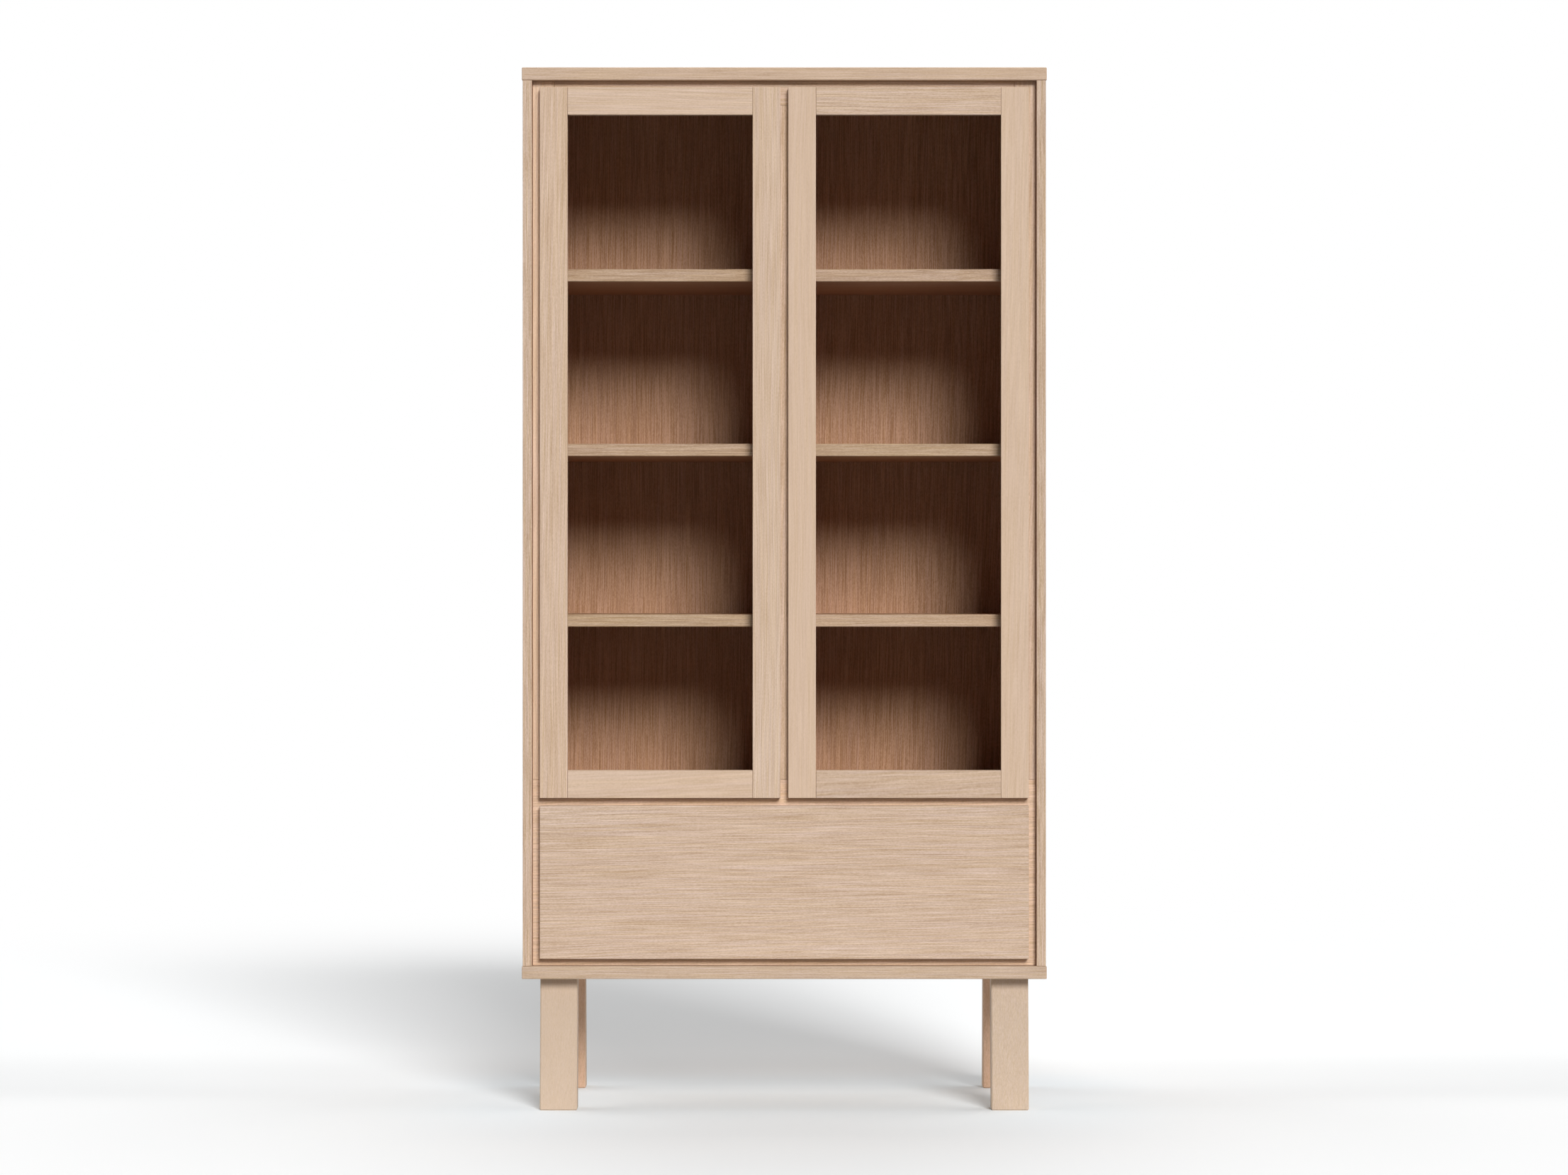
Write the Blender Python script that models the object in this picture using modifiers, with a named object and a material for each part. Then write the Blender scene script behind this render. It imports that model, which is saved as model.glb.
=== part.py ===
import bpy
import bmesh
from math import asin, atan2, cos, pi, sin, sqrt
from mathutils import Vector

# A tall display cabinet: two glazed doors over one wide drawer, on four leaning legs.
# Lengths are in metres. X runs along the front, Y runs back and Z runs up from the floor.
# Depth is counted back from the front edges of the case.

seat_gap = 0.0003              # left between pieces that touch
edge_bevel = 0.0006            # softened arrises of the boards
panel_bevel = 0.0012           # of the top and bottom panels

# Case
case_width = 0.900
case_depth = 0.400
case_height = 1.790
panel_thickness = 0.022        # top and bottom panels
side_thickness = 0.016
side_inset = 0.0015            # the sides stand in from the ends of the panels
back_thickness = 0.008
back_setback = 0.004           # back panel in from the rear edges
back_rebate = 0.007            # how far the back panel reaches into the sides

# Legs
leg_height = 0.2265
leg_width = 0.064
leg_thickness = 0.045
leg_side_inset = 0.0300        # from the end of the bottom panel
leg_end_inset = 0.0320         # from its front or rear edge, at the top of the leg
leg_lean = 0.0210              # how far the foot stands out from the top of the leg
leg_bevel = 0.0020

# Face frame, set back behind the doors
frame_setback = 0.016
frame_thickness = 0.020
frame_stile_width = 0.0372
frame_rail_height = 0.041
centre_stile_width = 0.060

# Doors and drawer front lie over the face frame
front_gap = 0.0133             # to the sides, between the doors, and over the drawer
door_top_gap = 0.0120
drawer_bottom_gap = 0.0127
front_thickness = 0.016
front_lift = 0.0015            # between a door or the drawer front and the face frame
door_member = 0.0475           # width of the stiles and rails of a door
door_overlay = 0.0307          # how far the doors reach down over the drawer surround
glass_thickness = 0.004
glass_groove = 0.006

# Inside
deck_thickness = 0.018
partition_thickness = 0.018
shelf_thickness = 0.021
housing_depth = 0.005          # how far shelves and deck are let into the sides
compartment_heights = (0.2629, 0.2730, 0.2798)  # from the deck up; the top one takes the rest

# Drawer
drawer_front_height = 0.2625
drawer_overlay_side = 0.026
drawer_overlay_edge = 0.0145
drawer_rear_room = 0.0192      # between the drawer box and the back panel
drawer_box_height = 0.187
drawer_box_lift = 0.007        # over the lower edge of its opening
drawer_side_thickness = 0.012
drawer_bottom_thickness = 0.005
drawer_bottom_rise = 0.012
drawer_groove = 0.006

# Drawer runners
runner_room = 0.0127           # between the drawer side and the edge of the opening
runner_metal = 0.0012
runner_channel_width = 0.0095
runner_height = 0.045
runner_rise = 0.060            # middle of the runner over the lower edge of the drawer side
runner_play = 0.0004
runner_bracket_width = 0.020
runner_front_setback = 0.002   # from the front of the surround

# Cup hinges, three to a door. Across is counted in from the outer edge of the door,
# and forward from the front face of the face frame.
hinge_end_distance = 0.100     # from the end of the door to the middle of a hinge
cup_radius = 0.0175
cup_depth = 0.013
cup_across = 0.0225
cup_wall = 0.0015
arm_pivot_across = 0.038
arm_pivot_forward = -0.004
door_pivot_across = 0.013
door_pivot_forward = 0.0055
link_bend_across = 0.021
link_bend_forward = 0.0095
link_half_width = 0.0015
link_height = 0.012
pivot_radius = 0.0015
eye_radius = 0.0032
arm_metal = 0.002
arm_plate_height = 0.040
arm_plate_front = 0.0015       # behind the front face of the face frame
arm_plate_depth = 0.0160

round_steps = 16
cup_steps = 32
weld = 0.00001                 # points closer than this are one

# Heights
case_low = leg_height
floor_top = case_low + panel_thickness
ceiling = case_height - panel_thickness
drawer_low = floor_top + drawer_bottom_gap
drawer_top = drawer_low + drawer_front_height
door_low = drawer_top + front_gap
door_top = ceiling - door_top_gap
surround_top = door_low + door_overlay
opening_low = drawer_low + drawer_overlay_edge
opening_top = drawer_top - drawer_overlay_edge
box_low = opening_low + drawer_box_lift
box_top = box_low + drawer_box_height
bottom_low = box_low + drawer_bottom_rise

# Half widths
side_outer = case_width / 2 - side_inset
side_inner = side_outer - side_thickness
front_half = side_inner - front_gap
frame_inner = side_inner - frame_stile_width
opening_half = front_half - drawer_overlay_side
box_outer = opening_half - runner_room
box_inner = box_outer - drawer_side_thickness

# Depths
front_proud = front_thickness + front_lift - frame_setback
front_back = front_thickness - front_proud
frame_back = frame_setback + frame_thickness
back_front = case_depth - back_setback - back_thickness
inside_front = frame_back + seat_gap
inside_back = back_front - seat_gap
glass_depth = front_back - front_thickness / 2
box_front = front_back + seat_gap
box_back = back_front - drawer_rear_room
drawer_box_length = box_back - box_front
case_front_y = front_proud - (case_depth + front_proud) / 2

oak = ((0.672, 0.509, 0.381), 0.48, 0.0)
inner_oak = ((0.600, 0.430, 0.300), 0.55, 0.0)
steel = ((0.560, 0.560, 0.550), 0.32, 1.0)
clear = ((0.900, 0.940, 0.930), 0.02, 0.0)


def at_depth(depth):
    return case_front_y + depth


def corner(x, depth, z):
    return Vector((x, at_depth(depth), z))


def span(side, inner, outer):
    """Low and high X of something between two half widths, on the side given by -1 or 1."""
    return min(side * inner, side * outer), max(side * inner, side * outer)


def side_name(side):
    return "left" if side < 0 else "right"


def world_place(item):
    place = item.location.copy()
    while item.parent:
        item = item.parent
        place += item.location
    return place


def hang(item, place, parent=None):
    item.parent = parent
    item.location = place - (world_place(parent) if parent else Vector())


def own_material(name, finish):
    colour, roughness, metallic = finish
    made = bpy.data.materials.new(name + "_finish")
    made.use_nodes = True
    shader = made.node_tree.nodes["Principled BSDF"]
    shader.inputs["Base Color"].default_value = (*colour, 1.0)
    shader.inputs["Roughness"].default_value = roughness
    shader.inputs["Metallic"].default_value = metallic
    if finish is clear:
        shader.inputs["Transmission Weight"].default_value = 1.0
    made.diffuse_color = (*colour, 1.0)
    return made


def add_object(name, mesh, group, finish=None):
    item = bpy.data.objects.new(name, mesh)
    group.objects.link(item)
    if finish:
        mesh.materials.append(own_material(name, finish))
    return item


def as_cutter(item):
    item.hide_render = True
    item.display_type = "WIRE"
    return item


def cube_mesh(name, size):
    mesh = bpy.data.meshes.new(name)
    work = bmesh.new()
    bmesh.ops.create_cube(work, size=1.0)
    bmesh.ops.scale(work, vec=size, verts=work.verts)
    work.to_mesh(mesh)
    work.free()
    return mesh


def bevel(item, width, segments=1):
    change = item.modifiers.new("soft_edges", "BEVEL")
    change.width = width
    change.segments = segments
    change.limit_method = "ANGLE"


def board(name, low, high, finish=oak, parent=None, softness=edge_bevel):
    item = add_object(name, cube_mesh(name, high - low), cabinet, finish)
    hang(item, (low + high) / 2, parent)
    bevel(item, softness)
    return item


def block_cutter(name, low, high, parent=None):
    item = as_cutter(add_object(name, cube_mesh(name, high - low), cutters))
    hang(item, (low + high) / 2, parent)
    return item


def combine(item, other, operation):
    change = item.modifiers.new(other.name, "BOOLEAN")
    change.operation = operation
    change.object = other


def cut(item, cutter):
    combine(item, cutter, "DIFFERENCE")


def join(item, piece):
    combine(item, piece, "UNION")


def rod_mesh(name, radius, length, steps):
    mesh = bpy.data.meshes.new(name)
    work = bmesh.new()
    bmesh.ops.create_cone(work, cap_ends=True, segments=steps, radius1=radius, radius2=radius, depth=length)
    work.to_mesh(mesh)
    work.free()
    return mesh


def rod_cutter(name, radius, length, place, parent=None, steps=round_steps):
    item = as_cutter(add_object(name, rod_mesh(name, radius, length, steps), cutters))
    hang(item, place, parent)
    return item


def arc(centre, radius, start, end, steps):
    """Points round a centre from one angle to another, both ends included."""
    turn = (end - start) / steps
    return [
        (centre[0] + radius * cos(start + turn * step), centre[1] + radius * sin(start + turn * step))
        for step in range(steps + 1)
    ]


def flat_mesh(name, loops, thickness):
    """Closed outlines in the XY plane, filled and given a thickness along Z."""
    outline = bpy.data.curves.new(name, "CURVE")
    outline.dimensions = "2D"
    outline.fill_mode = "BOTH"
    outline.extrude = thickness / 2
    for loop in loops:
        spline = outline.splines.new("POLY")
        spline.points.add(len(loop) - 1)
        for point, (x, y) in zip(spline.points, loop):
            point.co = (x, y, 0.0, 1.0)
        spline.use_cyclic_u = True
    guide = add_object(name + "_outline", outline, cutters)
    graph = bpy.context.evaluated_depsgraph_get()
    mesh = bpy.data.meshes.new_from_object(guide.evaluated_get(graph))
    mesh.name = name
    work = bmesh.new()
    work.from_mesh(mesh)
    bmesh.ops.remove_doubles(work, verts=work.verts, dist=weld)
    bmesh.ops.recalc_face_normals(work, faces=work.faces)
    work.to_mesh(mesh)
    work.free()
    bpy.data.objects.remove(guide)
    return mesh


def make_panels():
    half = case_width / 2
    for name, low, high in (("bottom_panel", case_low, floor_top), ("top_panel", ceiling, case_height)):
        board(name, corner(-half, 0, low), corner(half, case_depth, high), softness=panel_bevel)


def shelf_tops():
    tops = []
    level = surround_top
    for height in compartment_heights:
        level += height + shelf_thickness
        tops.append(level)
    return tops


def housed_levels():
    """Low and high Z of the shelves and of the deck, which are let into the sides."""
    levels = [(top - shelf_thickness, top) for top in shelf_tops()]
    levels.append((surround_top - deck_thickness, surround_top))
    return levels


def make_sides():
    bottom = floor_top + seat_gap
    top = ceiling - seat_gap
    for side in (-1, 1):
        name = side_name(side) + "_side_panel"
        low_x, high_x = span(side, side_inner, side_outer)
        panel = board(name, corner(low_x, 0, bottom), corner(high_x, case_depth, top))
        low_x, high_x = span(side, side_inner - back_rebate, side_inner + back_rebate + seat_gap)
        rebate = block_cutter(
            name + "_rebate",
            corner(low_x, inside_back, bottom - panel_thickness),
            corner(high_x, case_depth + back_thickness, top + panel_thickness),
        )
        cut(panel, rebate)
        low_x, high_x = span(side, side_inner - housing_depth, side_inner + housing_depth)
        for number, (low, high) in enumerate(housed_levels(), 1):
            housing = block_cutter(
                "%s_housing_%d" % (name, number),
                corner(low_x, frame_back, low - seat_gap),
                corner(high_x, back_front, high + seat_gap),
            )
            cut(panel, housing)


def make_back():
    half = side_inner + back_rebate
    board(
        "back_panel",
        corner(-half, back_front, floor_top + seat_gap),
        corner(half, back_front + back_thickness, ceiling - seat_gap),
        finish=inner_oak,
    )


def make_inside():
    reach = side_inner + housing_depth - seat_gap
    board(
        "deck_panel",
        corner(-reach, inside_front, surround_top - deck_thickness),
        corner(reach, inside_back, surround_top),
        finish=inner_oak,
    )
    half = partition_thickness / 2
    partition = board(
        "centre_partition",
        corner(-half, inside_front, surround_top + seat_gap),
        corner(half, inside_back, ceiling - seat_gap),
        finish=inner_oak,
    )
    names = ("lower", "middle", "upper")
    for name, top in zip(names, shelf_tops()):
        low = top - shelf_thickness
        for side in (-1, 1):
            low_x, high_x = span(side, half - housing_depth, half + housing_depth)
            housing = block_cutter(
                "partition_housing_%s_%s" % (side_name(side), name),
                corner(low_x, frame_back - frame_thickness, low - seat_gap),
                corner(high_x, case_depth, top + seat_gap),
            )
            cut(partition, housing)
            low_x, high_x = span(side, half - housing_depth + seat_gap, reach)
            board(
                "%s_%s_shelf" % (side_name(side), name),
                corner(low_x, inside_front, low),
                corner(high_x, inside_back, top),
                finish=inner_oak,
            )


def make_face_frame():
    half = side_inner - seat_gap
    surround = board(
        "frame_drawer_surround",
        corner(-half, frame_setback, floor_top + seat_gap),
        corner(half, frame_back, surround_top),
    )
    opening = block_cutter(
        "drawer_opening",
        corner(-opening_half, 0, opening_low),
        corner(opening_half, frame_back + frame_thickness, opening_top),
    )
    cut(surround, opening)
    bottom = surround_top + seat_gap
    top = ceiling - seat_gap
    for side in (-1, 1):
        low_x, high_x = span(side, frame_inner, half)
        board(
            "frame_%s_stile" % side_name(side),
            corner(low_x, frame_setback, bottom),
            corner(high_x, frame_back, top),
        )
    reach = frame_inner - seat_gap
    rail_low = ceiling - frame_rail_height
    board("frame_top_rail", corner(-reach, frame_setback, rail_low), corner(reach, frame_back, top))
    half = centre_stile_width / 2
    board(
        "frame_centre_stile",
        corner(-half, frame_setback, bottom),
        corner(half, frame_back, rail_low - seat_gap),
    )


def make_legs():
    outer = case_width / 2 - leg_side_inset
    inner = outer - leg_width
    top = case_low - seat_gap
    near = leg_end_inset
    far = case_depth - leg_end_inset - leg_thickness
    for end, depth, lean in (("front", near, -leg_lean), ("rear", far, leg_lean)):
        for side in (-1, 1):
            low_x, high_x = span(side, inner, outer)
            leg = board(
                "%s_%s_leg" % (end, side_name(side)),
                corner(low_x, depth, 0),
                corner(high_x, depth + leg_thickness, top),
                softness=leg_bevel,
            )
            for vertex in leg.data.vertices:
                if vertex.co.z < 0:
                    vertex.co.y += lean


def make_door(side, axis):
    """Stiles, rails and glass of the door on one side, hung on the empty on its pivot."""
    name = side_name(side) + "_door_"
    outer = front_half
    inner = front_gap / 2
    groove_half = glass_thickness / 2 + seat_gap
    near = glass_depth - groove_half
    far = glass_depth + groove_half
    stiles = {}
    for part, a, b, edge, into in (
        ("hinge_stile", outer - door_member, outer, outer - door_member, glass_groove),
        ("lock_stile", inner, inner + door_member, inner + door_member, -glass_groove),
    ):
        low_x, high_x = span(side, a, b)
        stile = board(
            name + part,
            corner(low_x, -front_proud, door_low),
            corner(high_x, front_back, door_top),
            parent=axis,
        )
        low_x, high_x = span(side, edge - into, edge + into)
        groove = block_cutter(
            name + part + "_groove",
            corner(low_x, near, door_low - door_member),
            corner(high_x, far, door_top + door_member),
            axis,
        )
        cut(stile, groove)
        stiles[part] = stile
    rail_inner = inner + door_member + seat_gap
    rail_outer = outer - door_member - seat_gap
    tenon = glass_groove - 2 * seat_gap
    low_x, high_x = span(side, rail_inner, rail_outer)
    for part, low, high, edge in (
        ("top_rail", door_top - door_member, door_top, door_top - door_member),
        ("bottom_rail", door_low, door_low + door_member, door_low + door_member),
    ):
        rail = board(
            name + part,
            corner(low_x, -front_proud, low),
            corner(high_x, front_back, high),
            parent=axis,
        )
        tongue = block_cutter(
            name + part + "_tenons",
            corner(low_x - tenon, glass_depth - glass_thickness / 2, low + edge_bevel),
            corner(high_x + tenon, glass_depth + glass_thickness / 2, high - edge_bevel),
            axis,
        )
        join(rail, tongue)
        groove = block_cutter(
            name + part + "_groove",
            corner(low_x - door_member, near, edge - glass_groove),
            corner(high_x + door_member, far, edge + glass_groove),
            axis,
        )
        cut(rail, groove)
    reach = glass_groove - seat_gap
    low_x, high_x = span(side, inner + door_member - reach, outer - door_member + reach)
    glass = add_object(
        name + "glass",
        cube_mesh(
            name + "glass",
            Vector((high_x - low_x, glass_thickness, door_top - door_low - 2 * (door_member - reach))),
        ),
        cabinet,
        clear,
    )
    hang(glass, corner((low_x + high_x) / 2, glass_depth, (door_low + door_top) / 2), axis)
    return stiles["hinge_stile"]


def hinge_point(side, across, forward, z=0.0):
    return corner(side * (front_half - across), frame_setback - forward, z)


def plan_point(side, across, forward):
    """The same place as hinge_point, as an outline point seen from above."""
    place = hinge_point(side, across, forward)
    return place.x, place.y


def link_outline(side):
    """A cranked bar with a round eye at each pivot, and a pin hole in each eye."""
    arm = plan_point(side, arm_pivot_across, arm_pivot_forward)
    bend = plan_point(side, link_bend_across, link_bend_forward)
    door = plan_point(side, door_pivot_across, door_pivot_forward)
    wrap = asin(link_half_width / eye_radius)

    def heading(a, b):
        return atan2(b[1] - a[1], b[0] - a[0])

    first = heading(arm, bend)
    last = heading(door, bend)
    out = arc(arm, eye_radius, first + wrap, first + 2 * pi - wrap, round_steps)
    half_turn = (heading(bend, door) - first) / 2
    middle = first + half_turn
    miter = link_half_width / cos(half_turn)
    out.append((bend[0] + miter * sin(middle), bend[1] - miter * cos(middle)))
    out += arc(door, eye_radius, last + wrap, last + 2 * pi - wrap, round_steps)
    out.append((bend[0] - miter * sin(middle), bend[1] + miter * cos(middle)))
    hole = pivot_radius + seat_gap
    whole = 2 * pi * (round_steps - 1) / round_steps
    holes = [arc(place, hole, 0, whole, round_steps - 1) for place in (arm, door)]
    return [out] + holes


def arm_outline(side):
    """A rounded nose at the pivot, widening to the plate on the edge of the face frame."""
    plate = front_half - frame_inner + seat_gap
    middle = plan_point(side, arm_pivot_across, arm_pivot_forward)
    start = plan_point(side, plate, -arm_plate_front)
    end = plan_point(side, plate, -arm_plate_front - arm_plate_depth)
    nose = arc(middle, eye_radius, -pi / 2, -pi / 2 - side * pi, round_steps // 2)
    return [[start] + nose + [end]]


def make_hinge(side, level, number, link_axis, door_axis, stile):
    name = "%s_hinge_%s" % (side_name(side), number)
    slot_half = link_height / 2 + seat_gap
    plate = frame_inner - seat_gap

    arm = add_object(
        name + "_arm",
        flat_mesh(name + "_arm", arm_outline(side), 2 * (slot_half + arm_metal)),
        cabinet,
        steel,
    )
    hang(arm, Vector((0, 0, level)))
    low_x, high_x = span(side, front_half - arm_pivot_across - 2 * eye_radius, plate - arm_metal)
    slot = block_cutter(
        name + "_slot",
        corner(low_x, 0, level - slot_half),
        corner(high_x, frame_back + frame_thickness, level + slot_half),
    )
    cut(arm, slot)
    low_x, high_x = span(side, plate - arm_metal, plate)
    plate_front = frame_setback + arm_plate_front
    face = block_cutter(
        name + "_plate",
        corner(low_x, plate_front, level - arm_plate_height / 2),
        corner(high_x, plate_front + arm_plate_depth, level + arm_plate_height / 2),
    )
    join(arm, face)
    pin = rod_cutter(
        name + "_arm_pin",
        pivot_radius,
        link_height + arm_metal,
        hinge_point(side, arm_pivot_across, arm_pivot_forward, level),
    )
    join(arm, pin)

    bar = flat_mesh(name + "_link", link_outline(side), link_height)
    link = add_object(name + "_link", bar, cabinet, steel)
    hang(link, Vector((0, 0, level)), link_axis)

    cup_place = hinge_point(side, cup_across, front_lift, level)
    hole = rod_cutter(name + "_cup_hole", cup_radius, 2 * cup_depth, cup_place, door_axis, cup_steps)
    hole.rotation_euler.x = pi / 2
    cut(stile, hole)

    shell = cup_radius - seat_gap
    bore = shell - cup_wall
    floor = cup_depth - seat_gap
    profile = (
        (0, cup_wall - floor), (bore, cup_wall - floor), (bore, 0),
        (shell, 0), (shell, -floor), (0, -floor),
    )
    mesh = bpy.data.meshes.new(name + "_cup")
    edges = [(n, n + 1) for n in range(len(profile) - 1)]
    mesh.from_pydata([(x, 0, z) for x, z in profile], edges, [])
    cup = add_object(name + "_cup", mesh, cabinet, steel)
    turn = cup.modifiers.new("turned", "SCREW")
    turn.steps = cup_steps
    turn.render_steps = cup_steps
    turn.use_merge_vertices = True
    turn.merge_threshold = weld
    cup.rotation_euler.x = -pi / 2
    hang(cup, cup_place, door_axis)
    off_centre = cup_across - door_pivot_across
    pin = rod_cutter(
        name + "_cup_pin",
        pivot_radius,
        2 * sqrt(((shell + bore) / 2) ** 2 - off_centre ** 2),
        hinge_point(side, door_pivot_across, door_pivot_forward, level),
        door_axis,
    )
    join(cup, pin)


def make_empty(name, place, parent=None):
    item = add_object(name, None, cabinet)
    hang(item, place, parent)
    return item


def make_doors():
    middle = (door_low + door_top) / 2
    levels = (
        ("lower", door_low + hinge_end_distance),
        ("middle", middle),
        ("upper", door_top - hinge_end_distance),
    )
    for side in (-1, 1):
        name = side_name(side)
        pivot = hinge_point(side, arm_pivot_across, arm_pivot_forward, middle)
        link_axis = make_empty(name + "_link_axis", pivot)
        pivot = hinge_point(side, door_pivot_across, door_pivot_forward, middle)
        door_axis = make_empty(name + "_door_axis", pivot, link_axis)
        stile = make_door(side, door_axis)
        for number, level in levels:
            make_hinge(side, level, number, link_axis, door_axis, stile)


def runner_outline(side, web, tip, half_height):
    """A channel lying on its side: a web with a flange at its top and bottom."""
    inward = runner_metal if tip > web else -runner_metal
    inner = half_height - runner_metal
    points = (
        (web, -half_height), (tip, -half_height), (tip, -inner), (web + inward, -inner),
        (web + inward, inner), (tip, inner), (tip, half_height), (web, half_height),
    )
    return [[(side * x, z) for x, z in points]]


def make_runner(side, slide):
    name = side_name(side) + "_runner_"
    level = box_low + runner_rise
    start = frame_setback + runner_front_setback
    fixed_end = inside_back
    web = opening_half - seat_gap
    fixed = add_object(
        name + "cabinet_member",
        flat_mesh(
            name + "cabinet_member",
            runner_outline(side, web, web - runner_channel_width, runner_height / 2),
            fixed_end - start,
        ),
        cabinet,
        steel,
    )
    fixed.rotation_euler.x = pi / 2
    hang(fixed, corner(0, (start + fixed_end) / 2, level))
    low_x, high_x = span(side, web - runner_metal, web + runner_bracket_width)
    bracket = block_cutter(
        name + "bracket",
        corner(low_x, fixed_end - runner_metal, level - runner_height / 2),
        corner(high_x, fixed_end, level + runner_height / 2),
    )
    join(fixed, bracket)
    web = box_outer + seat_gap
    tip = opening_half - 2 * seat_gap - runner_metal
    moving = add_object(
        name + "drawer_member",
        flat_mesh(
            name + "drawer_member",
            runner_outline(side, web, tip, runner_height / 2 - runner_metal - runner_play),
            drawer_box_length - seat_gap,
        ),
        cabinet,
        steel,
    )
    moving.rotation_euler.x = pi / 2
    hang(moving, corner(0, (box_front + box_back) / 2, level), slide)


def make_drawer():
    slide = make_empty("drawer_slide", corner(0, front_back, box_low))
    front = board(
        "drawer_front",
        corner(-front_half, -front_proud, drawer_low),
        corner(front_half, front_back, drawer_top),
        parent=slide,
    )
    groove_low = bottom_low - seat_gap
    groove_high = bottom_low + drawer_bottom_thickness + seat_gap
    groove = block_cutter(
        "drawer_front_groove",
        corner(-box_inner - drawer_groove, front_back - drawer_groove, groove_low),
        corner(box_inner + drawer_groove, front_back + drawer_groove, groove_high),
        slide,
    )
    cut(front, groove)
    for side in (-1, 1):
        name = "drawer_%s_side" % side_name(side)
        low_x, high_x = span(side, box_inner, box_outer)
        wall = board(
            name,
            corner(low_x, box_front, box_low),
            corner(high_x, box_back, box_top),
            inner_oak,
            slide,
        )
        low_x, high_x = span(side, box_inner - drawer_groove, box_inner + drawer_groove)
        groove = block_cutter(
            name + "_groove",
            corner(low_x, box_front - drawer_groove, groove_low),
            corner(high_x, box_back + drawer_groove, groove_high),
            slide,
        )
        cut(wall, groove)
        make_runner(side, slide)
    half = box_inner - seat_gap
    board(
        "drawer_back",
        corner(-half, box_back - drawer_side_thickness, groove_high),
        corner(half, box_back, box_top),
        inner_oak,
        slide,
    )
    half = box_inner + drawer_groove - seat_gap
    board(
        "drawer_bottom",
        corner(-half, front_back - drawer_groove + seat_gap, bottom_low),
        corner(half, box_back, bottom_low + drawer_bottom_thickness),
        inner_oak,
        slide,
        softness=edge_bevel / 2,
    )


for old in list(bpy.data.objects):
    bpy.data.objects.remove(old)

cabinet = bpy.data.collections.new("display_cabinet")
cutters = bpy.data.collections.new("cutters")
bpy.context.scene.collection.children.link(cabinet)
bpy.context.scene.collection.children.link(cutters)

make_panels()
make_sides()
make_back()
make_inside()
make_face_frame()
make_legs()
make_doors()
make_drawer()
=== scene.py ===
import random
from math import cos, pi, radians, sin
import bmesh
import bpy
from mathutils import Matrix, Vector


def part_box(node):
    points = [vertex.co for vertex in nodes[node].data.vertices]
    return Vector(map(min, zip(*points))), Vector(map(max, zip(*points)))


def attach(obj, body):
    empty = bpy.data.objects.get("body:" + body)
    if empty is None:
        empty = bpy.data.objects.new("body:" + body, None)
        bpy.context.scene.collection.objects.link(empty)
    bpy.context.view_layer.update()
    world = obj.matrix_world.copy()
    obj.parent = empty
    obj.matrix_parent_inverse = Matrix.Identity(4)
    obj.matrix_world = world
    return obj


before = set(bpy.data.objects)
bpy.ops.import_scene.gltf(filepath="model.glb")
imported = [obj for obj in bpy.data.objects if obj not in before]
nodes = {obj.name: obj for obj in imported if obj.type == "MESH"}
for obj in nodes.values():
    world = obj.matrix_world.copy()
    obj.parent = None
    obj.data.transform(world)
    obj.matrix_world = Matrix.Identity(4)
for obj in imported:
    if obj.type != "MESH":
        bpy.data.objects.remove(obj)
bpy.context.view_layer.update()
print("stage: frame loaded,", len(nodes), "nodes")


# Camera: level, straight in front of the cabinet, as in the photograph
cameraSetup = {
    "lens": 100.0,              # mm
    "sensor": 36.0,             # mm across
    "place": (-0.0005, -7.666, 0.898),
}


def makeCamera(setup):
    bpy.ops.object.camera_add(location=setup["place"], rotation=(pi / 2, 0, 0))
    camera = bpy.context.object
    camera.name = "photoCamera"
    camera.data.lens = setup["lens"]
    camera.data.sensor_width = setup["sensor"]
    bpy.context.scene.camera = camera


makeCamera(cameraSetup)
print("stage: camera placed")


class Wire:  # one socket of a material's nodes; sums and products on it add Math nodes

    def __init__(self, tree, socket=None):
        self.tree = tree
        self.socket = socket

    def node(self, kind, settings=None, sockets=None, out=0):
        made = self.tree.nodes.new(kind)
        for name, value in (settings or {}).items():
            setattr(made, name, value)
        for name, value in (sockets or {}).items():
            if isinstance(value, Wire):
                self.tree.links.new(value.socket, made.inputs[name])
            else:
                made.inputs[name].default_value = value
        return Wire(self.tree, made.outputs[out] if made.outputs else None)

    def axes(self):  # the x, y and z of a vector
        split = self.node("ShaderNodeSeparateXYZ", None, {0: self})
        return [Wire(self.tree, number) for number in split.socket.node.outputs]

    def maths(self, operation, first, second=0.0):
        return self.node("ShaderNodeMath", {"operation": operation}, {0: first, 1: second})

    def __add__(self, other):
        return self.maths("ADD", self, other)

    def __sub__(self, other):
        return self.maths("SUBTRACT", self, other)

    def __rsub__(self, other):
        return self.maths("SUBTRACT", other, self)

    def __mul__(self, other):
        return self.maths("MULTIPLY", self, other)

    def __pow__(self, other):
        return self.maths("POWER", self, other)

    def __abs__(self):
        return self.maths("ABSOLUTE", self)

    __radd__ = __add__
    __rmul__ = __mul__


def newMaterial(name):
    material = bpy.data.materials.new(name)
    material.use_nodes = True
    material.node_tree.nodes.clear()
    return material, Wire(material.node_tree)


def giveMaterial(piece, material):
    piece.data.materials.clear()
    piece.data.materials.append(material)


def blendColours(wire, share, first, second, way="MIX"):
    settings = {"data_type": "RGBA", "blend_type": way}
    return wire.node("ShaderNodeMix", settings, {0: share, 6: first, 7: second}, 2)


def between(wire, value, low, high):  # 0 below low, 1 above high, smooth in between
    return wire.node(
        "ShaderNodeMapRange",
        {"interpolation_type": "SMOOTHSTEP"},
        {"Value": value, "From Min": low, "From Max": high},
    )


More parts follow.
